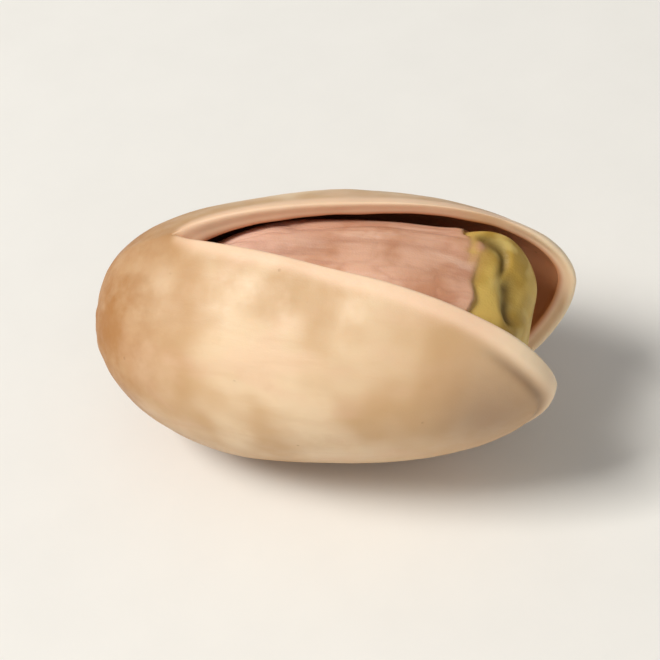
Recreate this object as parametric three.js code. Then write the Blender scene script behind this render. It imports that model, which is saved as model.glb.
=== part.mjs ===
// A pistachio in its split shell, in millimetres, lying on its back with the split facing up.
// +X runs from the stem end to the open tip, Y runs across the two valves, and +Z is up.
// The shell grew as one piece: its two valves have parted along the split, round the tip and
// a little way down the back, and they are still joined at the stem end and along the rest of
// the back. The kernel lies loose inside and shows through the split.

import * as THREE from "three";
import { mergeGeometries, mergeVertices } from "three/addons/utils/BufferGeometryUtils.js";

// Shell, as it was before the valves parted
const LENGTH = 20.5; // stem end to tip
const HEIGHT = 12.0; // back seam to split seam
const WIDTH = 10.8; // across the two valves
const WALL = 0.7;
const STEM_WALL = 1.7; // behind the stem scar
const STEM_BLUNTNESS = 0.96; // power of the end's roundness: lower is blunter
const TIP_BACK_BLUNTNESS = 0.98; // the tip is blunter towards the back than the split
const TIP_SPLIT_BLUNTNESS = 1.26;
const STEM_SQUARENESS = 2; // 2 rounds an end like an ellipse, and higher has fuller shoulders
const TIP_SQUARENESS = 2.56;
const STEM_SWELL = 0.136; // the stem half is fuller than the middle by this share
const TIP_SLIMMING = 0.22; // share by which the tip is slimmer across the valves
const SLIMMING_START = -0.2; // where that begins: 0 is the nut's middle and 1 its tip
const SPLIT_KEEL = 1.58; // above 1, the section comes to a soft edge at this seam
const BACK_KEEL = 1.2;
const TIP_KEEL = 0.26; // added to both keels towards the tip
const TIP_LIFT = 2.65; // the tip sits this far towards the split
const TIP_LIFT_POWER = 3; // higher keeps the lift closer to the tip
const SEAM_SWAY = 0.12; // how far the seams wander sideways
const SEAM_SWAY_LENGTH = 3.2; // length along the nut for each radian of that wandering
const UNEVENNESS = 0.008; // share by which the surface swells and dips
const WAVES = [
  { along: 3.1, across: 1.7, up: 0, phase: 0 }, // radians for each share of the way
  { along: -2.2, across: 0, up: 4.3, phase: 0.8 },
];

// The split: the half gap grows with the distance past a slanting hinge line
const SPLIT_START = -6.1; // X of the split's end on the split seam
const SPLIT_START_HEIGHT = 4.73; // its height above the nut's middle
const OPENING_DIRECTION = THREE.MathUtils.degToRad(45.5); // from +X up towards the split seam
const OPENING_SLOPE = 0.255; // half gap gained for each millimetre past the hinge line
const CRACK_ROUNDING = 2.05; // how bluntly the crack ends
const BEND_LENGTH = 2.6; // length over which the valves bend at the hinge line
const RIM_BLEND = 0.75; // share of the width over which the rim's opening passes to the valve's

// Flats on the outside
const REST_REACH = 5.3; // from the nut's middle down to the flat on its back, where it lies
const REST_LEAN = THREE.MathUtils.degToRad(5); // how far the tip leans down, so that it balances
const REST_WALL = 0.45; // shell left over that flat
const SCAR_REACH = 9.98; // from the nut's middle to the flat scar at the stem end
const SCAR_TILT = THREE.MathUtils.degToRad(10); // the scar faces a little towards the back

// Kernel: it grew against the inside of the shell, and fills most of the opened valves
const KERNEL_STEM_END = -8.0; // X of its two ends
const KERNEL_TIP_END = 9.0;
const KERNEL_GAP = 0.4; // to the inside of the closed shell
const KERNEL_REST_GAP = 0.3; // to the inside of the shell over its flat
const KERNEL_SPREAD = 0.94; // share of the valves' opening that its sides follow
const KERNEL_TOP_ROUNDNESS = 0.3; // 1 is round between the rims, and lower is flatter
const KERNEL_BACK_ROUNDNESS = 1.0;
const KERNEL_RISE = 0.27; // share of the rims' half gap by which it swells up between them
const KERNEL_RISE_START = 0.7; // how far up its section that swelling begins
const KERNEL_STEM_SQUARENESS = 2.6; // 2 rounds an end like an ellipse, and higher is blunter
const KERNEL_TIP_SQUARENESS = 4;

// Mesh fineness
const ROWS = 44; // from tip to stem
const OUTER_COLUMNS = 22; // round one valve, from seam to seam
const INNER_COLUMNS = 14;
const KERNEL_ROWS = 26;
const KERNEL_COLUMNS = 40;

const SHELL_COLOUR = 0xe6c39a;
const KERNEL_COLOUR = 0xa8705a;
const SHELL_ROUGHNESS = 0.55;
const KERNEL_ROUGHNESS = 0.7;
const WELD_DISTANCE = 1e-4;
const TINY = 1e-9;

const { lerp, smoothstep } = THREE.MathUtils;
const restDirection = new THREE.Vector3(Math.sin(REST_LEAN), 0, -Math.cos(REST_LEAN));
const scarDirection = new THREE.Vector3(-Math.cos(SCAR_TILT), 0, -Math.sin(SCAR_TILT));

// A patch of a unit sphere that has its poles on the X axis. Its start and sweep are angles
// round that axis, measured from the back seam.
function spherePatch(columns, rows, start, sweep) {
  const [x, y, z] = [[1, 0, 0], [0, 1, 0], [0, 0, 1]].map((axis) => new THREE.Vector3(...axis));
  const polesOntoX = new THREE.Matrix4().makeBasis(z, x, y);
  return new THREE.SphereGeometry(1, columns, rows, start, sweep).applyMatrix4(polesOntoX);
}

// Splits a point of the unit sphere into how far along the nut it is (-1 stem, 1 tip), how
// wide the sphere is there, and the shares of that width across the valves and up.
function bearings(point) {
  const girth = Math.max(Math.hypot(point.y, point.z), TINY);
  return { along: point.x, girth, across: point.y / girth, up: point.z / girth };
}

// Share by which the surface swells or dips, so that no two sides of the nut are alike.
function unevenness({ along, girth, across, up }) {
  const height = (w) => Math.sin(w.along * along + w.across * across + w.up * up + w.phase);
  return 1 + UNEVENNESS * girth * (height(WAVES[0]) + height(WAVES[1]));
}

// How wide a rounded body still is at this share of the way from its middle to its end.
function endRounding(along, squareness) {
  return Math.sqrt(1 - Math.min(Math.abs(along), 1) ** squareness);
}

// A point of the closed shell, taken in by inset at the sides and by stemInset at the stem.
function closedShellPoint(point, inset, stemInset) {
  const b = bearings(point);
  const tipShare = (b.along + 1) / 2;
  const splitShare = smoothstep(b.up, -1, 1);
  const tipBluntness = lerp(TIP_BACK_BLUNTNESS, TIP_SPLIT_BLUNTNESS, splitShare);
  const squareness = b.along > 0 ? TIP_SQUARENESS : STEM_SQUARENESS;
  const girth = endRounding(b.along, squareness) ** lerp(STEM_BLUNTNESS, tipBluntness, tipShare);
  const round = girth * unevenness(b);
  const endInset = lerp(stemInset, inset, smoothstep(tipShare, 0, 1));
  const flattening = 1 - TIP_SLIMMING * smoothstep(b.along, SLIMMING_START, 1);
  const keel = lerp(BACK_KEEL, SPLIT_KEEL, splitShare) + TIP_KEEL * smoothstep(b.along, 0, 1);
  const x = b.along * (LENGTH / 2 - endInset);
  const swell = 1 - STEM_SWELL * b.along;
  const halfWidth = (WIDTH / 2 - inset) * round * swell * flattening;
  const halfHeight = (HEIGHT / 2 - inset) * round * swell;
  const sway = SEAM_SWAY * Math.sin(x / SEAM_SWAY_LENGTH) * (1 - tipShare / 2);
  return new THREE.Vector3(
    x,
    halfWidth * Math.sign(b.across) * Math.abs(b.across) ** keel + sway,
    halfHeight * b.up + TIP_LIFT * tipShare ** TIP_LIFT_POWER,
  );
}

// How far a point of the outside lies past the hinge line, where the valves begin to part.
function pastHinge(outside) {
  return (
    (outside.x - SPLIT_START) * Math.cos(OPENING_DIRECTION) +
    (outside.z - SPLIT_START_HEIGHT) * Math.sin(OPENING_DIRECTION)
  );
}

// Half the gap between the two rims, this far past the hinge line.
function rimOpening(past) {
  const open = Math.max(past, 0);
  return OPENING_SLOPE * Math.sqrt(open * (open + 2 * CRACK_ROUNDING));
}

// How far the middle of a valve has moved out: as far as its rim, but with a smooth bend.
function valveShift(past) {
  return rimOpening((past + Math.hypot(past, BEND_LENGTH)) / 2);
}

// Brings a point back to a plane that lies this far from the nut's middle in this direction.
function flatten(p, direction, reach) {
  const beyond = p.dot(direction) - reach;
  if (beyond > 0) p.addScaledVector(direction, -beyond);
}

// One side of one valve: its outside when inset is 0, or else its inside.
function valveSurface(side, columns, inset, stemInset) {
  const start = side > 0 ? 0 : Math.PI;
  const geometry = spherePatch(columns, ROWS, start, Math.PI);
  const position = geometry.getAttribute("position");
  const onSphere = new THREE.Vector3();
  for (let i = 0; i < position.count; i++) {
    onSphere.fromBufferAttribute(position, i);
    const past = pastHinge(closedShellPoint(onSphere, 0, 0));
    const sideways = smoothstep(Math.abs(bearings(onSphere).across), 0, RIM_BLEND);
    const p = closedShellPoint(onSphere, inset, stemInset);
    p.y += side * lerp(rimOpening(past), valveShift(past), sideways);
    if (inset === 0) flatten(p, scarDirection, SCAR_REACH);
    flatten(p, restDirection, inset === 0 ? REST_REACH : REST_REACH - REST_WALL);
    position.setXYZ(i, p.x, p.y, p.z);
  }
  return geometry;
}

// Whether the valves have parted at this row of a seam: up is 1 for the split seam and -1 for
// the back seam.
function parted(row, up) {
  const angle = (Math.PI * row) / ROWS;
  const onSphere = new THREE.Vector3(Math.cos(angle), 0, up * Math.sin(angle));
  return pastHinge(closedShellPoint(onSphere, 0, 0)) > 0;
}

// The broken edge that joins a valve's outside to its inside, along one seam.
function rimStrip(outside, inside, outerColumn, innerColumn, facing, up) {
  const corners = [];
  const point = (geometry, columns, row, column) => {
    const index = row * (columns + 1) + column;
    return new THREE.Vector3().fromBufferAttribute(geometry.getAttribute("position"), index);
  };
  const face = (...points) => {
    const ordered = facing > 0 ? points : points.reverse();
    ordered.forEach((p) => corners.push(p.x, p.y, p.z));
  };
  for (let row = 0; row < ROWS; row++) {
    if (!parted(row, up) && !parted(row + 1, up)) continue;
    const outer = [row, row + 1].map((r) => point(outside, OUTER_COLUMNS, r, outerColumn));
    const inner = [row, row + 1].map((r) => point(inside, INNER_COLUMNS, r, innerColumn));
    face(outer[0], outer[1], inner[1]);
    face(outer[0], inner[1], inner[0]);
  }
  const strip = new THREE.BufferGeometry();
  return strip.setAttribute("position", new THREE.Float32BufferAttribute(corners, 3));
}

// Turns a surface's faces round.
function reversed(geometry) {
  const index = geometry.getIndex();
  for (let i = 0; i < index.count; i += 3) {
    const first = index.getX(i);
    index.setX(i, index.getX(i + 2));
    index.setX(i + 2, first);
  }
  return geometry;
}

function bare(geometry) {
  const loose = geometry.index ? geometry.toNonIndexed() : geometry;
  loose.deleteAttribute("normal");
  loose.deleteAttribute("uv");
  return loose;
}

function shellGeometry() {
  const surfaces = [];
  for (const side of [1, -1]) {
    const outside = valveSurface(side, OUTER_COLUMNS, 0, 0);
    const inside = valveSurface(side, INNER_COLUMNS, WALL, STEM_WALL);
    surfaces.push(rimStrip(outside, inside, OUTER_COLUMNS, INNER_COLUMNS, 1, side));
    surfaces.push(rimStrip(outside, inside, 0, 0, -1, -side));
    surfaces.push(outside, reversed(inside));
  }
  const shell = mergeVertices(mergeGeometries(surfaces.map(bare)), WELD_DISTANCE);
  shell.computeVertexNormals();
  return shell;
}

// A point of the kernel: the inside of the closed shell, made a little smaller, spread to
// follow the opened valves, and rounded off at both ends.
function kernelPoint(point) {
  const b = bearings(point);
  const tipShare = (b.along + 1) / 2;
  const x = lerp(KERNEL_STEM_END, KERNEL_TIP_END, tipShare);
  const shellAlong = (2 * x) / LENGTH;
  const inset = WALL + KERNEL_GAP;
  const beside = new THREE.Vector3(shellAlong, b.across, b.up);
  const p = closedShellPoint(beside, inset, inset);
  const axis = closedShellPoint(new THREE.Vector3(shellAlong, 0, 0), inset, inset);
  const roundness = lerp(KERNEL_BACK_ROUNDNESS, KERNEL_TOP_ROUNDNESS, smoothstep(b.up, -1, 1));
  const past = pastHinge(p);
  p.y += KERNEL_SPREAD * valveShift(past) * Math.sign(b.across) * Math.abs(b.across) ** roundness;
  p.z += KERNEL_RISE * rimOpening(past) * smoothstep(b.up, KERNEL_RISE_START, 1);
  const squareness = lerp(KERNEL_STEM_SQUARENESS, KERNEL_TIP_SQUARENESS, tipShare);
  const fullness = endRounding(b.along, squareness) ** (2 / squareness);
  p.sub(axis).multiplyScalar(fullness).add(axis);
  p.x = x;
  flatten(p, restDirection, REST_REACH - REST_WALL - KERNEL_REST_GAP);
  return p;
}

function kernelGeometry() {
  const geometry = spherePatch(KERNEL_COLUMNS, KERNEL_ROWS, 0, 2 * Math.PI);
  const position = geometry.getAttribute("position");
  const onSphere = new THREE.Vector3();
  for (let i = 0; i < position.count; i++) {
    const p = kernelPoint(onSphere.fromBufferAttribute(position, i));
    position.setXYZ(i, p.x, p.y, p.z);
  }
  const kernel = mergeVertices(bare(geometry), WELD_DISTANCE);
  kernel.computeVertexNormals();
  return kernel;
}

function piece(name, geometry, colour, roughness) {
  const material = new THREE.MeshStandardMaterial({ color: colour, roughness, metalness: 0 });
  const mesh = new THREE.Mesh(geometry, material);
  mesh.name = name;
  return mesh;
}

const nut = new THREE.Group();
nut.add(piece("shell", shellGeometry(), SHELL_COLOUR, SHELL_ROUGHNESS));
nut.add(piece("kernel", kernelGeometry(), KERNEL_COLOUR, KERNEL_ROUGHNESS));
nut.rotation.y = REST_LEAN;
nut.position.z = REST_REACH;

// The part's origin is under the middle of its bounding box, on the surface that it lies on.
const middle = new THREE.Box3().setFromObject(nut, true).getCenter(new THREE.Vector3());
nut.position.x -= middle.x;
nut.position.y -= middle.y;

const pistachio = new THREE.Group();
pistachio.add(nut);
export default pistachio;
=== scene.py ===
"""A pistachio in its split shell, lying on its back with the split facing up.

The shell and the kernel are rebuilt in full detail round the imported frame. +X runs from the stem
end to the open tip, Y across the two valves, and +Z up. Shapes are worked out in millimetres from
the nut's middle, and then placed in the frame's box, in metres.
"""

import math

import bmesh
import bpy
import numpy as np
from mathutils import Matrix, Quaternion, Vector, kdtree


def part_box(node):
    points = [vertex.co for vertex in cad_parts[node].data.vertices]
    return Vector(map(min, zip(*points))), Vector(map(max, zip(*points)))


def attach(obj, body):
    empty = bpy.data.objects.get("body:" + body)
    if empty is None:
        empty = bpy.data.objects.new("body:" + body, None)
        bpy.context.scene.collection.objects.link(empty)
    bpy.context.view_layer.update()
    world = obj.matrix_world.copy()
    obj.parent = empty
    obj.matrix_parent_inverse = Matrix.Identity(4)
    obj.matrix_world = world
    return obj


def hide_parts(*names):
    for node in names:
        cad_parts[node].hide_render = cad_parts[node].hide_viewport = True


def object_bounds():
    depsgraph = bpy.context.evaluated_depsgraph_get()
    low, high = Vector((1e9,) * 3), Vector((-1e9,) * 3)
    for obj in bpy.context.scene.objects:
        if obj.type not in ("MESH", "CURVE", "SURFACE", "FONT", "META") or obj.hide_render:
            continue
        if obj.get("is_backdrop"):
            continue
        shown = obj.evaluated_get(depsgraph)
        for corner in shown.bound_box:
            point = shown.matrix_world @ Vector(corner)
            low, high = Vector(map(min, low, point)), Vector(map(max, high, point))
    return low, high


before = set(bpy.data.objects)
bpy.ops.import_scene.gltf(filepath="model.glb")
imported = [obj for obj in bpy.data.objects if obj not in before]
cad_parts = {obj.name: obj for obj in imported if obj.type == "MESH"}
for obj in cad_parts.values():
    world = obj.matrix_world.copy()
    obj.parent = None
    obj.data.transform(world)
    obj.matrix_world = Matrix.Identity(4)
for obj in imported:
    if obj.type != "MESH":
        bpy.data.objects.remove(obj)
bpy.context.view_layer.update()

# Shell, as it was before the valves parted, in millimetres
LENGTH = 20.5  # stem end to tip
HEIGHT = 12.0  # back seam to split seam
WIDTH = 10.8  # across the two valves
WALL = 0.7
STEM_WALL = 1.7  # behind the stem scar
STEM_BLUNTNESS = 0.96  # power of the end's roundness: lower is blunter
TIP_BACK_BLUNTNESS = 0.98  # the tip is blunter towards the back than the split
TIP_SPLIT_BLUNTNESS = 1.26
STEM_SQUARENESS = 2  # 2 rounds an end like an ellipse, and higher has fuller shoulders
TIP_SQUARENESS = 2.56
STEM_SWELL = 0.136  # the stem half is fuller than the middle by this share
TIP_SLIMMING = 0.22  # share by which the tip is slimmer across the valves
SLIMMING_START = -0.2  # where that begins: 0 is the nut's middle and 1 its tip
SPLIT_KEEL = 1.58  # above 1, the section comes to a soft edge at this seam
BACK_KEEL = 1.2
TIP_KEEL = 0.26  # added to both keels towards the tip
TIP_LIFT = 2.65  # the tip sits this far towards the split
TIP_LIFT_POWER = 3  # higher keeps the lift closer to the tip
SEAM_SWAY = 0.12  # how far the seams wander sideways
SEAM_SWAY_LENGTH = 3.2  # length along the nut for each radian of that wandering
UNEVENNESS = 0.008  # share by which the surface swells and dips
WAVES = (  # radians for each share of the way
    {"along": 3.1, "across": 1.7, "up": 0, "phase": 0},
    {"along": -2.2, "across": 0, "up": 4.3, "phase": 0.8},
)
RIM_BLEND = 0.75  # share of the width over which the rim's opening passes to the valve's

# The split: the half gap grows with the distance past a slanting hinge line
SPLIT_START = -6.1  # X of the split's end on the split seam
SPLIT_START_HEIGHT = 4.73  # its height above the nut's middle
OPENING_DIRECTION = math.radians(45.5)  # from +X up towards the split seam
OPENING_SLOPE = 0.255  # half gap gained for each millimetre past the hinge line
CRACK_ROUNDING = 2.05  # how bluntly the crack ends
BEND_LENGTH = 2.6  # length over which the valves bend at the hinge line

# Flats on the outside
REST_REACH = 5.3  # from the nut's middle down to the flat on its back, where it lies
REST_LEAN = math.radians(5)  # how far the tip leans down, so that it balances
REST_DIRECTION = np.array([math.sin(REST_LEAN), 0, -math.cos(REST_LEAN)])
REST_WALL = 0.45  # shell left over that flat
SCAR_REACH = 9.98  # from the nut's middle to the flat scar at the stem end
SCAR_TILT = math.radians(10)  # the scar faces a little towards the back
SCAR_DIRECTION = np.array([-math.cos(SCAR_TILT), 0, -math.sin(SCAR_TILT)])

# Kernel: it grew against the inside of the shell, and fills most of the opened valves
KERNEL_STEM_END = -8.0  # X of its two ends
KERNEL_TIP_END = 9.0
KERNEL_GAP = 0.4  # to the inside of the closed shell
KERNEL_REST_GAP = 0.3  # to the inside of the shell over its flat
KERNEL_SPREAD = 0.94  # share of the valves' opening that its sides follow
KERNEL_TOP_ROUNDNESS = 0.3  # 1 is round between the rims, and lower is flatter
KERNEL_BACK_ROUNDNESS = 1.0
KERNEL_RISE = 0.27  # share of the rims' half gap by which it swells up between them
KERNEL_RISE_START = 0.7  # how far up its section that swelling begins
KERNEL_STEM_SQUARENESS = 2.6  # 2 rounds an end like an ellipse, and higher is blunter
KERNEL_TIP_SQUARENESS = 4

# Mesh fineness
ROWS = 84  # from tip to stem
OUTER_COLUMNS = 36  # round one valve, from seam to seam
INNER_COLUMNS = 16
RIM_COLUMNS = 3  # across the broken edge
RIM_STEPS = 6  # points measured from along the rims, for each row
SUBDIVISIONS = 2
KERNEL_CUTS = 127  # across each face of the cube that the kernel is shaped from

TINY = 1e-9
WELD_DISTANCE = 1e-4
NOISE_LATTICE = 32  # the noise repeats after this many bumps
FURROW_SHARPNESS = 6  # higher makes furrows narrower


# ---- Numbers and noise

def lerp(a, b, share):
    return a + (b - a) * share


def smoothstep(x, low, high):
    """0 at low and 1 at high, with an easy start and end; low may be the greater of the two."""
    share = np.clip((x - low) / (high - low), 0, 1)
    return share * share * (3 - 2 * share)


def bump(x, middle, width):
    """1 where x is at the middle, falling to 0 over about twice the width on both sides."""
    return np.exp(-(((x - middle) / width) ** 2))


def noise(points, size, seed):
    """Smooth noise from -1 to 1 at each point, with bumps about size across."""
    lattice = np.random.default_rng(seed).uniform(-1, 1, (NOISE_LATTICE,) * 3)
    cell = points / size
    base = np.floor(cell).astype(int)
    share = cell - base
    share = share * share * (3 - 2 * share)
    total = np.zeros(len(points))
    for corner in np.ndindex(2, 2, 2):
        near = np.array(corner, bool)
        weight = np.prod(np.where(near, share, 1 - share), axis=1)
        i, j, k = ((base + near) % NOISE_LATTICE).T
        total += weight * lattice[i, j, k]
    return total


def furrows(points, size, seed):
    """Thin winding grooves: 1 in a groove and 0 between grooves."""
    return (1 - np.abs(noise(points, size, seed))) ** FURROW_SHARPNESS


# ---- The nut's shape, by the same rules as the frame's

def bearings(sphere):
    """How far along the nut, how wide, and the shares of that width across and up."""
    along, y, z = np.moveaxis(sphere, -1, 0)
    girth = np.maximum(np.hypot(y, z), TINY)
    return along, girth, y / girth, z / girth


def end_rounding(along, squareness):
    """How wide a rounded body still is at this share of the way from its middle to its end."""
    return np.sqrt(1 - np.minimum(np.abs(along), 1) ** squareness)


def waviness(along, across, up):
    """How much the surface swells or dips, so that no two sides of the nut are alike."""
    angles = [w["along"] * along + w["across"] * across + w["up"] * up + w["phase"] for w in WAVES]
    return sum(np.sin(angle) for angle in angles)


def closed_shell(sphere, inset, stem_inset):
    """Points of the closed shell, with its walls taken in by inset, or stem_inset at the stem."""
    along, girth, across, up = bearings(sphere)
    tip_share = (along + 1) / 2
    tip_bluntness = lerp(TIP_BACK_BLUNTNESS, TIP_SPLIT_BLUNTNESS, smoothstep(up, -1, 1))
    bluntness = lerp(STEM_BLUNTNESS, tip_bluntness, tip_share)
    rounding = end_rounding(along, np.where(along > 0, TIP_SQUARENESS, STEM_SQUARENESS))
    unevenness = 1 + UNEVENNESS * girth * waviness(along, across, up)
    fullness = rounding**bluntness * unevenness * (1 - STEM_SWELL * along)
    flattening = 1 - TIP_SLIMMING * smoothstep(along, SLIMMING_START, 1)
    keel = lerp(BACK_KEEL, SPLIT_KEEL, smoothstep(up, -1, 1)) + TIP_KEEL * smoothstep(along, 0, 1)
    x = along * (LENGTH / 2 - lerp(stem_inset, inset, smoothstep(tip_share, 0, 1)))
    half_width = (WIDTH / 2 - inset) * fullness * flattening
    half_height = (HEIGHT / 2 - inset) * fullness
    sway = SEAM_SWAY * np.sin(x / SEAM_SWAY_LENGTH) * (1 - tip_share / 2)
    y = half_width * np.sign(across) * np.abs(across) ** keel + sway
    z = half_height * up + TIP_LIFT * tip_share**TIP_LIFT_POWER
    return np.stack([x, y, z], axis=-1)


def past_hinge(points):
    """How far points of the outside lie past the hinge line, where the valves begin to part."""
    return (points[..., 0] - SPLIT_START) * math.cos(OPENING_DIRECTION) + (
        points[..., 2] - SPLIT_START_HEIGHT
    ) * math.sin(OPENING_DIRECTION)


def rim_opening(past):
    """Half the gap between the two rims, this far past the hinge line."""
    gap = np.maximum(past, 0)
    return OPENING_SLOPE * np.sqrt(gap * (gap + 2 * CRACK_ROUNDING))


def valve_shift(past):
    """How far the middle of a valve has moved out: as far as its rim, but with a smooth bend."""
    return rim_opening((past + np.hypot(past, BEND_LENGTH)) / 2)


def flatten(points, direction, reach):
    """Points brought back to a plane this far from the nut's middle in this direction."""
    beyond = np.maximum(points @ direction - reach, 0)
    return points - beyond[..., None] * direction


def valve_grid(side, columns, inset, stem_inset):
    """One side of one valve, from tip to stem and from the back seam to the split seam.

    Gives its points, where they were before the split opened, and how far past the hinge they lie.
    """
    slant = np.linspace(0, math.pi, ROWS + 1)[:, None]
    turn = np.linspace(0, math.pi, columns + 1)[None, :]
    along = np.cos(slant) * np.ones_like(turn)
    sphere = np.stack(
        [along, side * np.sin(slant) * np.sin(turn), -np.sin(slant) * np.cos(turn)], axis=-1
    )
    past = past_hinge(closed_shell(sphere, 0, 0))
    sideways = smoothstep(np.abs(bearings(sphere)[2]), 0, RIM_BLEND)
    grown = closed_shell(sphere, inset, stem_inset)
    placed = grown.copy()
    placed[..., 1] += side * lerp(rim_opening(past), valve_shift(past), sideways)
    if inset == 0:
        placed = flatten(placed, SCAR_DIRECTION, SCAR_REACH)
    rest_reach = REST_REACH if inset == 0 else REST_REACH - REST_WALL
    return flatten(placed, REST_DIRECTION, rest_reach), grown, past


def kernel_points(sphere):
    """Points of the kernel: the inside of the shell, drawn in towards both of its ends."""
    along, _, across, up = bearings(sphere)
    tip_share = (along + 1) / 2
    x = lerp(KERNEL_STEM_END, KERNEL_TIP_END, tip_share)
    inset = WALL + KERNEL_GAP
    beside = np.stack([2 * x / LENGTH, across, up], axis=-1)
    axis = closed_shell(beside * [1, 0, 0], inset, inset)
    points = closed_shell(beside, inset, inset)
    roundness = lerp(KERNEL_BACK_ROUNDNESS, KERNEL_TOP_ROUNDNESS, smoothstep(up, -1, 1))
    past = past_hinge(points)
    sideways = np.sign(across) * np.abs(across) ** roundness
    points[..., 1] += KERNEL_SPREAD * valve_shift(past) * sideways
    points[..., 2] += KERNEL_RISE * rim_opening(past) * smoothstep(up, KERNEL_RISE_START, 1)
    squareness = lerp(KERNEL_STEM_SQUARENESS, KERNEL_TIP_SQUARENESS, tip_share)
    fullness = end_rounding(along, squareness) ** (2 / squareness)
    points = axis + (points - axis) * fullness[..., None]
    points[..., 0] = x
    return flatten(points, REST_DIRECTION, REST_REACH - REST_WALL - KERNEL_REST_GAP)


# ---- Meshes

def grid_faces(rows, columns, first, keep=None):
    """Quads between the points of a grid; keep says which rows of quads are made."""
    faces = []
    for row in range(rows):
        if keep is not None and not keep[row]:
            continue
        for column in range(columns):
            corner = first + row * (columns + 1) + column
            faces.append((corner, corner + 1, corner + columns + 2, corner + columns + 1))
    return faces


def shell_patches():
    """Grids of (places, places before opening, share of the way inside, rows of quads made)."""
    patches = []
    for side in (1, -1):
        outside, outside_grown, past = valve_grid(side, OUTER_COLUMNS, 0, 0)
        inside, inside_grown, _ = valve_grid(side, INNER_COLUMNS, WALL, STEM_WALL)
        patches.append((outside, outside_grown, np.zeros(outside.shape[:2]), None))
        patches.append((inside, inside_grown, np.ones(inside.shape[:2]), None))
        for column in (0, -1):
            share = np.linspace(0, 1, RIM_COLUMNS + 1)[None, :, None]
            rim = lerp(outside[:, column, None], inside[:, column, None], share)
            grown = lerp(outside_grown[:, column, None], inside_grown[:, column, None], share)
            parted = past[:, column] > 0
            inwards = np.broadcast_to(share[..., 0], rim.shape[:2])
            patches.append((rim, grown, inwards, parted[:-1] | parted[1:]))
    return patches


def mesh_from_patches(name, patches):
    """One closed mesh, with where each point was before opening and how far inside it is."""
    places, grown, inwards, faces = [], [], [], []
    for points, points_grown, share, keep in patches:
        first = sum(len(p) for p in places)
        rows, columns = points.shape[0] - 1, points.shape[1] - 1
        faces += grid_faces(rows, columns, first, keep)
        places.append(points.reshape(-1, 3))
        grown.append(points_grown.reshape(-1, 3))
        inwards.append(np.ravel(share))
    mesh = bpy.data.meshes.new(name)
    mesh.from_pydata(np.concatenate(places).tolist(), [], faces)
    write(mesh, "grown", np.concatenate(grown), "FLOAT_VECTOR")
    write(mesh, "inside", np.concatenate(inwards))
    weld(mesh)
    return mesh


def weld(mesh):
    """Joins points that lie together, drops loose points and turns all faces outwards."""
    work = bmesh.new()
    work.from_mesh(mesh)
    bmesh.ops.remove_doubles(work, verts=work.verts, dist=WELD_DISTANCE)
    bmesh.ops.delete(work, geom=[v for v in work.verts if not v.link_faces], context="VERTS")
    bmesh.ops.recalc_face_normals(work, faces=work.faces)
    work.to_mesh(mesh)
    work.free()


def write(mesh, name, values, kind="FLOAT"):
    """Stores one value at each point, for later steps and for the materials."""
    attribute = mesh.attributes.get(name) or mesh.attributes.new(name, kind, "POINT")
    field = "vector" if kind == "FLOAT_VECTOR" else "value"
    attribute.data.foreach_set(field, np.ascontiguousarray(values, np.float32).ravel())


def read(mesh, name, width=1):
    """The values stored at the points, each of this many numbers."""
    values = np.zeros(len(mesh.vertices) * width, np.float32)
    mesh.attributes[name].data.foreach_get("vector" if width == 3 else "value", values)
    return values.reshape(-1, width).squeeze().astype(float)


def places_of(mesh):
    """Where all the mesh's points are."""
    values = np.zeros(len(mesh.vertices) * 3, np.float32)
    mesh.vertices.foreach_get("co", values)
    return values.reshape(-1, 3).astype(float)


def normals_of(mesh):
    """Which way the surface faces at all the mesh's points."""
    values = np.zeros(len(mesh.vertices) * 3, np.float32)
    mesh.vertex_normals.foreach_get("vector", values)
    return values.reshape(-1, 3).astype(float)


def move_to(mesh, points):
    mesh.vertices.foreach_set("co", np.ascontiguousarray(points, np.float32).ravel())
    mesh.update()


def subdivided(mesh, levels):
    """A finer and smoother mesh, with the stored values carried over."""
    holder = bpy.data.objects.new(mesh.name, mesh)
    bpy.context.scene.collection.objects.link(holder)
    holder.modifiers.new("smooth", "SUBSURF").levels = levels
    finer = bpy.data.meshes.new_from_object(
        holder.evaluated_get(bpy.context.evaluated_depsgraph_get())
    )
    bpy.data.objects.remove(holder)
    return finer


def distance_to(points, targets):
    """How far each point is from the nearest of the targets."""
    tree = kdtree.KDTree(len(targets))
    for i, target in enumerate(targets):
        tree.insert(target, i)
    tree.balance()
    return np.array([tree.find(p)[2] for p in points])


# ---- Shell

# Relief on the shell, in millimetres
LUMP_SIZE, LUMP_DEPTH = 3.6, 0.07
RIPPLE_SIZE, RIPPLE_DEPTH = 1.3, 0.018
GRAIN_SIZE, GRAIN_DEPTH = 0.35, 0.006
INSIDE_SIZE, INSIDE_DEPTH = 1.1, 0.03
VEIN_SPACING, VEIN_DEPTH = 1.1, 0.022
VEIN_STRETCH = 0.14  # veins run lengthwise, so their pattern is drawn out along X
LIP_WIDTH, LIP_HEIGHT = 0.3, 0.13
LIP_ELSEWHERE = 0.35  # share of that height along the rims, away from the tip
GUTTER_PLACE, GUTTER_WIDTH, GUTTER_DEPTH = 0.52, 0.2, 0.09  # inside the lip, round the tip
SCAR_RADIUS, SCAR_RING_WIDTH, SCAR_RING_HEIGHT = 1.3, 0.25, 0.03
SCAR_PIT_RADIUS, SCAR_PIT_DEPTH = 0.45, 0.12
PUCKER_SPACING, PUCKER_LENGTH, PUCKER_DEPTH = 0.8, 1.12, 0.06
PUCKER_PLACE, PUCKER_WIDTH = 1.95, 1.133  # how far from the scar's middle they are deepest
DENT_PLACE = np.array([7.7, -4.1, 2.3])  # near the tip of the valve on the -Y side
DENT_RADIUS, DENT_DEPTH = 1.9, 0.14

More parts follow.
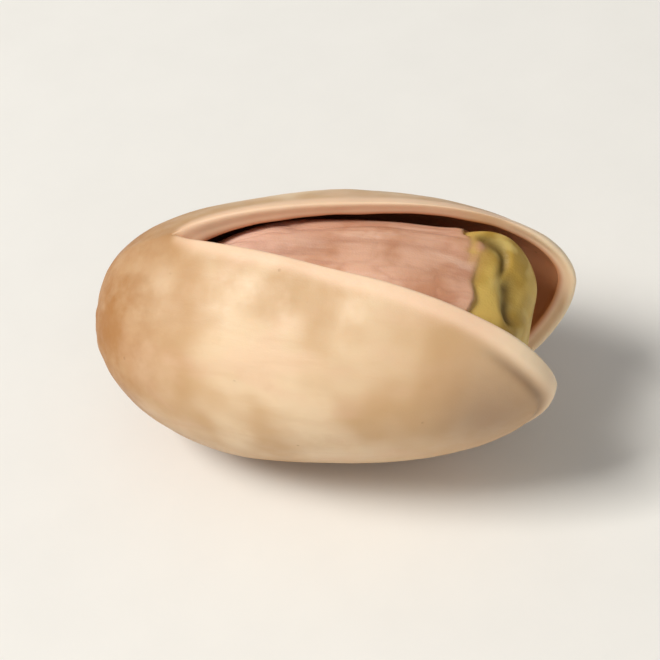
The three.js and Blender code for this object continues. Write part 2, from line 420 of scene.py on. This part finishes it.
# Where marks on the shell begin, and where they are at full strength, in millimetres
VEINS_ALONG = (6, -8)  # X
VEINS_FROM_SCAR = (0.91, 1.95)  # from the scar's middle
VEINS_GATHER = (-3, -9)  # X: from here to here the veins bend in, to meet at the scar
LIP_ALONG = (6.8, 9.2)  # X
# The stem end's darker tan: partly the shell's own colour there, partly painted shade
STEM_TAN_AND_SHADE_ALONG = (-2.5, -10)  # X
# Painted shade: the shell is darker towards the bottom, from the first Z to the second
UNDERSIDE_SHADE_HEIGHT = (-0.5, -5.2)  # Z
SCAR_EDGE = (1.495, 1.105)  # from the scar's middle
STEM_END = 6.0  # only points this far from the nut's middle, towards the scar, can be near it
OUTSIDE_RELIEF = (0.6, 0.1)  # share of the way through the broken edge to the inside

# Widths of the coloured bands, in millimetres: the broken edge's paler colour with painted light,
# the lip's paler colour with a painted highlight, and the painted shade in the gutter
RIM_PALE_AND_LIT_BAND, LIP_PALE_AND_HIGHLIGHT_BAND, GUTTER_SHADE_BAND = 0.26, 0.3, 0.22
# How far the darker grey-tan over the dent reaches
DENT_GREY_RADIUS = 2.09


def meridian_pattern(grown, stretch):
    """Coordinates in which a pattern runs from the stem scar to the tip, like veins."""
    scar_height = SCAR_REACH * SCAR_DIRECTION[2]
    y = grown[:, 1]
    z = grown[:, 2] - scar_height * smoothstep(grown[:, 0], *VEINS_GATHER)
    girth = np.maximum(np.hypot(y, z), TINY)
    radius = HEIGHT / 2
    return np.stack([grown[:, 0] * stretch, y / girth * radius, z / girth * radius], axis=-1)


def rim_points():
    """Closely spaced points along the middle of the two valves' broken edges."""
    found = []
    for side in (1, -1):
        outside, _, past = valve_grid(side, OUTER_COLUMNS, 0, 0)
        inside, _, _ = valve_grid(side, INNER_COLUMNS, WALL, STEM_WALL)
        for column in (0, -1):
            middle = (outside[:, column] + inside[:, column])[past[:, column] > 0] / 2
            steps = np.arange(0, len(middle) - 1, 1 / RIM_STEPS)
            found.append([np.interp(steps, range(len(middle)), axis) for axis in middle.T])
    return np.concatenate(found, axis=1).T


def distance_from_scar(points):
    """How far points are from the scar's axis; the nut's length for all but the stem end."""
    reach = points @ SCAR_DIRECTION
    off_axis = np.linalg.norm(points - reach[:, None] * SCAR_DIRECTION, axis=1)
    return np.where(reach > STEM_END, off_axis, LENGTH)


def shell_marks(points, grown):
    """Where the marks on the shell are: distances from them, and shares of their strength."""
    scar = distance_from_scar(points)
    veins = furrows(meridian_pattern(grown, VEIN_STRETCH), VEIN_SPACING, seed=3)
    veins *= smoothstep(scar, *VEINS_FROM_SCAR) * smoothstep(points[:, 0], *VEINS_ALONG)
    _, across, up = meridian_pattern(grown, 0).T
    spokes = np.stack([scar * PUCKER_SPACING / PUCKER_LENGTH, across, up], axis=-1)
    return {
        "rim": np.maximum(distance_to(points, rim_points()) - WALL / 2, 0),
        "scar": scar,
        "dent": np.linalg.norm(points - DENT_PLACE, axis=1),
        "veins": veins,
        "puckers": noise(spokes, PUCKER_SPACING, seed=5) * bump(scar, PUCKER_PLACE, PUCKER_WIDTH),
        "tip": smoothstep(points[:, 0], *LIP_ALONG),
    }


def shell_relief(points, marks):
    """How far the outside stands above its smooth shape."""
    rim, scar, tip = marks["rim"], marks["scar"], marks["tip"]
    relief = LUMP_DEPTH * noise(points, LUMP_SIZE, seed=1)
    relief += RIPPLE_DEPTH * noise(points, RIPPLE_SIZE, seed=8)
    relief += GRAIN_DEPTH * noise(points, GRAIN_SIZE, seed=2)
    relief -= VEIN_DEPTH * marks["veins"]
    relief += LIP_HEIGHT * bump(rim, 0, LIP_WIDTH) * lerp(LIP_ELSEWHERE, 1, tip)
    relief -= GUTTER_DEPTH * bump(rim, GUTTER_PLACE, GUTTER_WIDTH) * tip
    relief += SCAR_RING_HEIGHT * bump(scar, SCAR_RADIUS, SCAR_RING_WIDTH)
    relief -= SCAR_PIT_DEPTH * bump(scar, 0, SCAR_PIT_RADIUS)
    relief += PUCKER_DEPTH * marks["puckers"]
    relief -= DENT_DEPTH * bump(marks["dent"], 0, DENT_RADIUS)
    return relief


def make_shell_mesh():
    mesh = subdivided(mesh_from_patches("shell_skin", shell_patches()), SUBDIVISIONS)
    points, inside = places_of(mesh), read(mesh, "inside")
    marks = shell_marks(points, read(mesh, "grown", 3))
    relief = shell_relief(points, marks) * smoothstep(inside, *OUTSIDE_RELIEF)
    relief += INSIDE_DEPTH * noise(points, INSIDE_SIZE, seed=7) * inside
    points = points + relief[:, None] * normals_of(mesh)
    move_to(mesh, flatten(points, REST_DIRECTION, REST_REACH))

    rim, outer_tip = marks["rim"], marks["tip"] * (1 - inside)
    write(mesh, "vein", marks["veins"])
    # The broken edge's paler colour, made lighter still as painted light where the edge is turned
    # from the lamps
    write(mesh, "rim", bump(rim, 0, RIM_PALE_AND_LIT_BAND))
    # The lip's paler colour, with a painted highlight round the tip
    write(mesh, "lip", bump(rim, 0, LIP_PALE_AND_HIGHLIGHT_BAND) * outer_tip)
    # Painted shade in the gutter inside the lip
    write(mesh, "gutter_painted_shade", bump(rim, GUTTER_PLACE, GUTTER_SHADE_BAND) * outer_tip)
    # The stem end's darker tan: partly the shell's own colour there, partly painted shade
    write(mesh, "stem", smoothstep(points[:, 0], *STEM_TAN_AND_SHADE_ALONG))
    write(mesh, "scar", smoothstep(marks["scar"], *SCAR_EDGE))
    # Darker grey-tan over the dent near the tip
    write(mesh, "dent_grey", bump(marks["dent"], 0, DENT_GREY_RADIUS) * (1 - inside))
    # Painted shade, darker towards the bottom of the shell
    write(mesh, "under_painted_shade", smoothstep(points[:, 2], *UNDERSIDE_SHADE_HEIGHT))
    return mesh


# ---- Kernel

# Relief on the kernel, in millimetres
SWELL_SIZE, SWELL_DEPTH = 2.6, 0.09
FOLD_SPACING, FOLD_DEPTH = 1.25, 0.09
CRINKLE_SPACING, CRINKLE_DEPTH = 0.5, 0.03
CRINKLE_WANDER_SIZE, CRINKLE_WANDER = 0.8, 0.2
CRINKLE_SHADE = 0.5  # how much painted shade crinkles get, as a share of the folds'
FOLD_STRETCH = 0.26  # folds and crinkles run lengthwise, so they are drawn out along X
SKIN_THICKNESS = 0.08
CHIP_SIZE, CHIP_DEPTH = 1.3, 0.1  # in the flesh

# The torn edge of the skin, past which it has rubbed off
FLESH_START = 6.1  # X of the edge on the nut's middle plane
FLESH_SLANT = -0.22  # how far it runs on in X for each millimetre in Y
TEAR_SIZE, TEAR_DEPTH = 1.3, 0.55
FRAY_SIZE, FRAY_DEPTH = 0.4, 0.25
EDGE_SOFTNESS = 0.1
TORN_BAND = 0.22

# A crease in the flesh, and a bulge beside it, near the rim on the +Y side
CREASE_START = np.array([6.5, 1.9])  # X and Y of its two ends
CREASE_END = np.array([8.3, -1.2])
CREASE_WIDTH, CREASE_DEPTH = 0.34, 0.3
CREASE_HEIGHT = (1.5, 2.5)  # Z where it begins, and where it is full
CREASE_WANDER_SIZE, CREASE_WANDER = 1.0, 0.35
KNUCKLE_PLACE = np.array([7.0, 1.9, 4.5])
KNUCKLE_RADIUS, KNUCKLE_HEIGHT = 1.9, 0.85


def distance_to_line(points, start, end):
    """How far points are from the straight line between two others."""
    along = (points - start) @ (end - start) / np.dot(end - start, end - start)
    nearest = start + np.clip(along, 0, 1)[:, None] * (end - start)
    return np.linalg.norm(points - nearest, axis=1)


def cube_sphere(name, cuts):
    """A mesh of even squares, with a point of a sphere for each of its points."""
    work = bmesh.new()
    bmesh.ops.create_cube(work, size=2)
    bmesh.ops.subdivide_edges(work, edges=work.edges[:], cuts=cuts, use_grid_fill=True)
    mesh = bpy.data.meshes.new(name)
    work.to_mesh(mesh)
    work.free()
    cube = places_of(mesh)
    rounder = np.tan(cube * math.pi / 4)
    return mesh, rounder / np.linalg.norm(rounder, axis=1)[:, None]


def skin_edge(points):
    """X at which the skin ends, at each point."""
    edge = FLESH_START + FLESH_SLANT * points[:, 1]
    edge += TEAR_DEPTH * noise(points, TEAR_SIZE, seed=14)
    return edge + FRAY_DEPTH * noise(points, FRAY_SIZE, seed=15)


def flesh_crease(points):
    """The crease's depth at each point, as a share."""
    wander = CREASE_WANDER * noise(points, CREASE_WANDER_SIZE, seed=16)
    off_line = distance_to_line(points[:, :2] + wander[:, None], CREASE_START, CREASE_END)
    return bump(off_line, 0, CREASE_WIDTH) * smoothstep(points[:, 2], *CREASE_HEIGHT)


def make_kernel_mesh():
    mesh, sphere = cube_sphere("kernel_skin", KERNEL_CUTS)
    move_to(mesh, kernel_points(sphere))
    points = places_of(mesh)
    lengthwise = points * [FOLD_STRETCH, 1, 1]
    wander = CRINKLE_WANDER * noise(points, CRINKLE_WANDER_SIZE, seed=12)
    folds = furrows(lengthwise, FOLD_SPACING, seed=11)
    crinkles = furrows(lengthwise + wander[:, None], CRINKLE_SPACING, seed=13)
    edge = skin_edge(points)
    flesh = smoothstep(points[:, 0], edge - EDGE_SOFTNESS, edge + EDGE_SOFTNESS)
    crease = flesh_crease(points)
    knuckle = bump(np.linalg.norm(points - KNUCKLE_PLACE, axis=1), 0, KNUCKLE_RADIUS)

    skin_relief = -FOLD_DEPTH * folds - CRINKLE_DEPTH * crinkles
    flesh_relief = CHIP_DEPTH * (noise(points, CHIP_SIZE, seed=18) - 1) - SKIN_THICKNESS
    relief = SWELL_DEPTH * (noise(points, SWELL_SIZE, seed=17) - 1)
    relief += lerp(skin_relief, flesh_relief, flesh)
    relief += KNUCKLE_HEIGHT * knuckle - CREASE_DEPTH * crease
    move_to(mesh, points + relief[:, None] * normals_of(mesh))

    # Painted shade in the folds and crinkles
    write(mesh, "fold_painted_shade", np.clip(folds + CRINKLE_SHADE * crinkles, 0, 1))
    write(mesh, "flesh", flesh)
    write(mesh, "torn", bump(points[:, 0] - edge, 0, TORN_BAND))
    # The crease's mask, which also darkens it as painted shade
    write(mesh, "crease", crease)
    return mesh


# ---- Materials

# Colours as they look on a screen: red, green and blue from 0 to 255
CREAM = (208, 170, 126)
IVORY = (236, 208, 172)
BLOTCH = (214, 173, 126)
BLUSH = (236, 196, 166)
STREAK = (204, 160, 112)
# Painted shade towards the bottom of the shell
UNDERSIDE_PAINTED_SHADE = (176, 132, 80)
# Painted shade towards the tip
TIP_HALF_PAINTED_SHADE = (202, 162, 116)
# The stem end's darker tan, partly painted shade
STEM_TAN_AND_SHADE = (162, 106, 42)
VEIN = (178, 130, 84)
# Darker grey-tan over the dent near the tip
DENT_GREY = (166, 134, 106)
# Painted shade in the gutter
GUTTER_PAINTED_SHADE = (146, 116, 90)
# The broken edge's paler colour, with painted light
RIM_PALE_AND_LIT = (252, 216, 186)
# The lip's paler colour, with a painted highlight round the tip
LIP_PALE_AND_HIGHLIGHT = (252, 228, 194)
# The shell's tan inside; over the inner part of the broken edge it is painted shade
INSIDE_TAN_AND_EDGE_SHADE = (208, 146, 106)
SCAR = (206, 176, 136)
SPECK = (150, 106, 66)
SKIN = (222, 174, 146)
SKIN_PATCH = (198, 142, 108)
SKIN_DARK_STREAK = (178, 120, 96)
SKIN_LIGHT_STREAK = (238, 202, 178)
# Painted light on the kernel's stem end, which lies in shade under the rim
SKIN_STEM_END_PAINTED_LIGHT = (244, 206, 188)
# Painted shade in the kernel's folds
FOLD_PAINTED_SHADE = (152, 94, 74)
FLESH = (216, 182, 94)
FLESH_PATCH = (186, 150, 62)
FLESH_PALE = (232, 206, 126)
# Painted shade in the flesh's crease
CREASE_PAINTED_SHADE = (112, 86, 24)
TORN_SKIN = (184, 136, 86)
PAPER = (240, 239, 236)
PAPER_SHADE = (234, 233, 230)

MILLIMETRES = 1000  # in a metre


class Nodes:
    """One material's nodes."""

    def __init__(self, name):
        self.material = bpy.data.materials.new(name)
        self.material.use_nodes = True
        self.tree = self.material.node_tree
        self.shader = self.tree.nodes["Principled BSDF"]

    def add(self, kind, inputs=None, **settings):
        """Makes a node, with its settings, and feeds its inputs."""
        made = self.tree.nodes.new("ShaderNode" + kind)
        for name, value in settings.items():
            setattr(made, name, value)
        for socket, value in (inputs or {}).items():
            self.feed(made.inputs[socket], value)
        return made

    def feed(self, socket, value):
        """Links a socket to another one, or gives it a plain value."""
        if isinstance(value, bpy.types.NodeSocket):
            self.tree.links.new(value, socket)
        else:
            socket.default_value = value

    def attribute(self, name):
        return self.add("Attribute", attribute_name=name).outputs["Fac"]

    def place(self, stretch=(1, 1, 1)):
        """Where a point is in the frame, in millimetres, for a pattern that can be stretched."""
        where = self.add("TexCoord").outputs["Object"]
        scale = [MILLIMETRES * share for share in stretch]
        return self.add("VectorMath", {0: where, 1: scale}, operation="MULTIPLY").outputs[0]

    def along(self):
        """How far along the nut a point is: X in the frame, in millimetres."""
        return self.add("SeparateXYZ", {0: self.place()}).outputs[0]

    def noise(self, where, size, detail):
        """Noise from 0 to 1, with bumps about size across."""
        inputs = {"Vector": where, "Scale": 1 / size, "Detail": detail, "Roughness": 0.55}
        return self.add("TexNoise", inputs).outputs[0]

    def ramp(self, value, between, to=(0.0, 1.0)):
        """A value taken smoothly from one range to another, and held at its ends."""
        inputs = dict(enumerate((value, *between, *to)))
        return self.add("MapRange", inputs, clamp=True, interpolation_type="SMOOTHSTEP").outputs[0]

    def patches(self, where, size, detail, between, most=1.0):
        """Soft patches of noise: none below the first of two noise values, most at the second."""
        return self.ramp(self.noise(where, size, detail), between, (0, most))

    def times(self, a, b):
        return self.add("Math", {0: a, 1: b}, operation="MULTIPLY").outputs[0]

    def mark(self, name, most):
        """One of the values stored on the mesh, as a share."""
        return self.times(self.attribute(name), most)

    def mix(self, share, a, b):
        """Two colours mixed, which are inputs 6 and 7 of the node."""
        made = self.add("Mix", {0: share, 6: a, 7: b}, data_type="RGBA", blend_type="MIX")
        return made.outputs[2]

    def tint(self, colour, share, towards):
        """A colour taken towards a screen colour by a share."""
        return self.mix(share, colour, srgb(*towards))

    def bump(self, height, distance, strength):
        inputs = {"Height": height, "Distance": distance, "Strength": strength}
        return self.add("Bump", inputs).outputs[0]

    def set(self, **inputs):
        """Sets the shader's inputs, with _ in a name for each space."""
        for name, value in inputs.items():
            self.feed(self.shader.inputs[name.replace("_", " ")], value)


def linear(part):
    """The amount of light for one part of a screen colour, by the sRGB standard."""
    share = part / 255
    return share / 12.92 if share < 0.04045 else ((share + 0.055) / 1.055) ** 2.4


def srgb(*parts):
    """A colour given as it looks on a screen, from 0 to 255."""
    return (*[linear(part) for part in parts], 1)


def shell_colour(n, where):
    colour = n.patches(where, size=4.5, detail=2, between=(0.38, 0.62))
    colour = n.mix(colour, srgb(*CREAM), srgb(*IVORY))
    blotches = n.patches(where, size=1.7, detail=5, between=(0.5, 0.75), most=0.32)
    colour = n.tint(colour, blotches, BLOTCH)
    flushed = n.place(stretch=(0.5, 1, 1))
    blush = n.patches(flushed, size=2.2, detail=2, between=(0.52, 0.7), most=0.35)
    colour = n.tint(colour, blush, BLUSH)
    lengthwise = n.place(stretch=(0.16, 1, 1))
    streaks = n.patches(lengthwise, size=0.5, detail=4, between=(0.5, 0.75), most=0.14)
    colour = n.tint(colour, streaks, STREAK)
    # Painted shade, darker towards the bottom
    colour = n.tint(colour, n.mark("under_painted_shade", most=0.9), UNDERSIDE_PAINTED_SHADE)
    # Painted shade, darker towards the tip, where less light falls
    colour = n.tint(colour, n.ramp(n.along(), between=(-1, 8), to=(0, 0.65)), TIP_HALF_PAINTED_SHADE)
    # The stem end's darker tan: partly the shell's own colour there, partly painted shade
    mottle = n.ramp(n.noise(where, size=1.8, detail=4), between=(0.3, 0.62), to=(0.7, 1))
    colour = n.tint(colour, n.times(n.attribute("stem"), mottle), STEM_TAN_AND_SHADE)
    colour = n.tint(colour, n.mark("vein", most=0.15), VEIN)
    # Darker grey-tan over the dent near the tip
    colour = n.tint(colour, n.mark("dent_grey", most=0.95), DENT_GREY)
    # Painted shade in the gutter
    colour = n.tint(colour, n.mark("gutter_painted_shade", most=0.55), GUTTER_PAINTED_SHADE)
    # The broken edge's paler colour, made lighter still as painted light where the edge is turned
    # from the lamps
    colour = n.tint(colour, n.mark("rim", most=0.72), RIM_PALE_AND_LIT)
    # The lip's paler colour, with a painted highlight round the tip
    colour = n.tint(colour, n.mark("lip", most=0.8), LIP_PALE_AND_HIGHLIGHT)
    # The shell's tan inside; over the inner part of the broken edge it is painted shade
    colour = n.tint(colour, n.ramp(n.attribute("inside"), between=(0.55, 1)), INSIDE_TAN_AND_EDGE_SHADE)
    colour = n.tint(colour, n.mark("scar", most=0.7), SCAR)
    return n.tint(colour, specks(n, where), SPECK)


def specks(n, where):
    """A few small dots, in some places only."""
    from_dot = n.add("TexVoronoi", {"Vector": where, "Scale": 0.9, "Randomness": 1}).outputs[0]
    some_places = n.patches(where, size=1.1, detail=2, between=(0.55, 0.62))
    return n.times(n.ramp(from_dot, between=(0.04, 0.09), to=(0.45, 0)), some_places)


def shell_material():
    n = Nodes("shell_bone")
    where = n.place()
    gloss = n.noise(where, size=0.8, detail=4)
    grain = n.noise(n.place(stretch=(0.35, 1, 1)), size=0.2, detail=4)
    height = n.mix(share=0.35, a=grain, b=n.noise(where, size=0.07, detail=2))
    n.set(
        Base_Color=shell_colour(n, where),
        Roughness=n.ramp(gloss, between=(0.3, 0.7), to=(0.42, 0.58)),
        Normal=n.bump(height, distance=0.00002, strength=0.55),
        Subsurface_Weight=0.15,
        Subsurface_Radius=(1.0, 0.6, 0.35),
        Subsurface_Scale=0.0006,
        Specular_IOR_Level=0.45,
    )
    return n.material


def skin_colour(n, where, lengthwise):
    patches = n.patches(where, size=2.4, detail=3, between=(0.38, 0.64))
    colour = n.mix(patches, srgb(*SKIN), srgb(*SKIN_PATCH))
    dark = n.patches(lengthwise, size=0.55, detail=4, between=(0.5, 0.78), most=0.5)
    colour = n.tint(colour, dark, SKIN_DARK_STREAK)
    light = n.patches(lengthwise, size=0.8, detail=3, between=(0.52, 0.7), most=0.55)
    colour = n.tint(colour, light, SKIN_LIGHT_STREAK)
    # Painted light on the kernel's stem end, which lies in shade under the rim
    colour = n.tint(colour, n.ramp(n.along(), between=(-4, 1), to=(0.7, 0)), SKIN_STEM_END_PAINTED_LIGHT)
    # Painted shade in the folds and crinkles
    return n.tint(colour, n.mark("fold_painted_shade", most=0.3), FOLD_PAINTED_SHADE)


def flesh_colour(n, where):
    broad = n.place(stretch=(1, 0.6, 1))
    patches = n.patches(broad, size=1.4, detail=1.5, between=(0.38, 0.62))
    colour = n.mix(patches, srgb(*FLESH), srgb(*FLESH_PATCH))
    pale = n.patches(where, size=1.1, detail=1.5, between=(0.48, 0.7), most=0.75)
    colour = n.tint(colour, pale, FLESH_PALE)
    # Painted shade in the crease
    return n.tint(colour, n.mark("crease", most=0.9), CREASE_PAINTED_SHADE)


def kernel_material():
    n = Nodes("kernel_skin")
    where, lengthwise = n.place(), n.place(stretch=(0.2, 1, 1))
    skin = skin_colour(n, where, lengthwise)
    colour = n.mix(n.attribute("flesh"), skin, flesh_colour(n, where))
    colour = n.tint(colour, n.mark("torn", most=0.45), TORN_SKIN)
    gloss = n.noise(where, size=0.6, detail=4)
    grain = n.noise(lengthwise, size=0.22, detail=4)
    height = n.mix(share=0.4, a=grain, b=n.noise(where, size=0.09, detail=2))
    n.set(
        Base_Color=colour,
        Roughness=n.ramp(gloss, between=(0.3, 0.7), to=(0.45, 0.66)),
        Normal=n.bump(height, distance=0.00005, strength=0.7),
        Subsurface_Weight=0.2,
        Subsurface_Radius=(1.0, 0.6, 0.3),
        Subsurface_Scale=0.0008,
    )
    return n.material


def floor_material():
    n = Nodes("pale_floor")
    paper = n.mix(n.noise(n.place(), size=4.0, detail=4), srgb(*PAPER), srgb(*PAPER_SHADE))
    n.set(Base_Color=paper, Roughness=0.8)
    return n.material


# ---- Placing the pieces

def leaned(points):
    """Points turned about Y, so that the flat on the nut's back faces down."""
    x, y, z = points.T
    cos, sin = math.cos(REST_LEAN), math.sin(REST_LEAN)
    return np.stack([x * cos + z * sin, y, z * cos - x * sin], axis=-1)


def frame_placement(shell_mesh):
    """The scale and shift that put the nut's millimetres in the frame's box for the shell."""
    low, high = (np.array(corner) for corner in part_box("shell"))
    points = leaned(places_of(shell_mesh))
    lowest, highest = points.min(axis=0), points.max(axis=0)
    scale = (high - low)[0] / (highest - lowest)[0]
    shift = (low + high) / 2 - scale * (lowest + highest) / 2
    shift[2] = low[2] - scale * lowest[2]
    return scale, shift


def add_piece(name, mesh, placement, material):
    """Puts one smooth-shaded piece in the frame."""
    scale, shift = placement
    move_to(mesh, leaned(places_of(mesh)) * scale + shift)
    mesh.polygons.foreach_set("use_smooth", np.ones(len(mesh.polygons), bool))
    mesh.materials.clear()
    mesh.materials.append(material)
    piece = bpy.data.objects.new(name, mesh)
    bpy.context.scene.collection.objects.link(piece)
    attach(piece, "root")
    return piece


def add_nut():
    """Adds both pieces, in place of the frame's plain ones."""
    shell_mesh = make_shell_mesh()
    placement = frame_placement(shell_mesh)
    shell = add_piece("split_shell", shell_mesh, placement, shell_material())
    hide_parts("shell")
    kernel = add_piece("seed", make_kernel_mesh(), placement, kernel_material())
    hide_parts("kernel")


# ---- Stage

FLOOR_SIZE = 1.6
CAMERA_AZIMUTH = math.radians(18.2)  # round from the front towards the tip
CAMERA_ELEVATION = math.radians(44.6)
CAMERA_ROLL = math.radians(-7.5)
CAMERA_LENS = 100
CAMERA_CLIP = 50  # nearest and farthest things seen, as a share and a multiple of its distance
FRAME_FILL = 0.72  # share of the picture's width that the nut's length takes up
WORLD_COLOUR, WORLD_STRENGTH = (1.0, 0.985, 0.96, 1), 0.3


def add_floor():
    mesh = bpy.data.meshes.new("floor")
    half = FLOOR_SIZE / 2
    corners = [(-half, -half, 0), (half, -half, 0), (half, half, 0), (-half, half, 0)]
    mesh.from_pydata(corners, [], [(0, 1, 2, 3)])
    mesh.materials.append(floor_material())
    floor = bpy.data.objects.new("floor", mesh)
    bpy.context.scene.collection.objects.link(floor)
    floor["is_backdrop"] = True


def add_area_light(name, direction, distance, size, power, colour):
    """A square light, this far from the nut and turned towards it."""
    data = bpy.data.lights.new(name, "AREA")
    data.energy, data.size, data.color = power, size, colour
    light = bpy.data.objects.new(name, data)
    towards = Vector(direction).normalized()
    light.location = towards * distance
    light.rotation_mode = "QUATERNION"
    light.rotation_quaternion = towards.to_track_quat("Z", "Y")
    bpy.context.scene.collection.objects.link(light)


def add_lights():
    add_area_light(
        "key", direction=(-0.55, -0.3, 0.85), distance=0.5, size=0.2, power=2.24,
        colour=(1.0, 0.97, 0.91),
    )
    add_area_light(
        "fill", direction=(0.5, -0.9, 0.7), distance=0.6, size=0.5, power=0.33,
        colour=(1.0, 0.97, 0.93),
    )
    world = bpy.data.worlds.new("studio")
    world.use_nodes = True
    background = world.node_tree.nodes["Background"]
    background.inputs["Color"].default_value = WORLD_COLOUR
    background.inputs["Strength"].default_value = WORLD_STRENGTH
    bpy.context.scene.world = world


def add_camera():
    low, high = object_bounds()
    data = bpy.data.cameras.new("camera")
    data.lens = CAMERA_LENS
    camera = bpy.data.objects.new("camera", data)
    level = math.cos(CAMERA_ELEVATION)
    back = Vector((
        math.sin(CAMERA_AZIMUTH) * level,
        -math.cos(CAMERA_AZIMUTH) * level,
        math.sin(CAMERA_ELEVATION),
    ))
    distance = (high - low).x / FRAME_FILL * data.lens / data.sensor_width
    camera.location = (low + high) / 2 + back * distance
    camera.rotation_mode = "QUATERNION"
    camera.rotation_quaternion = back.to_track_quat("Z", "Y") @ Quaternion((0, 0, 1), CAMERA_ROLL)
    data.clip_start, data.clip_end = distance / CAMERA_CLIP, distance * CAMERA_CLIP
    bpy.context.scene.collection.objects.link(camera)
    bpy.context.scene.camera = camera


add_nut()
add_floor()
add_lights()
add_camera()
bpy.context.scene.view_settings.view_transform = "Standard"
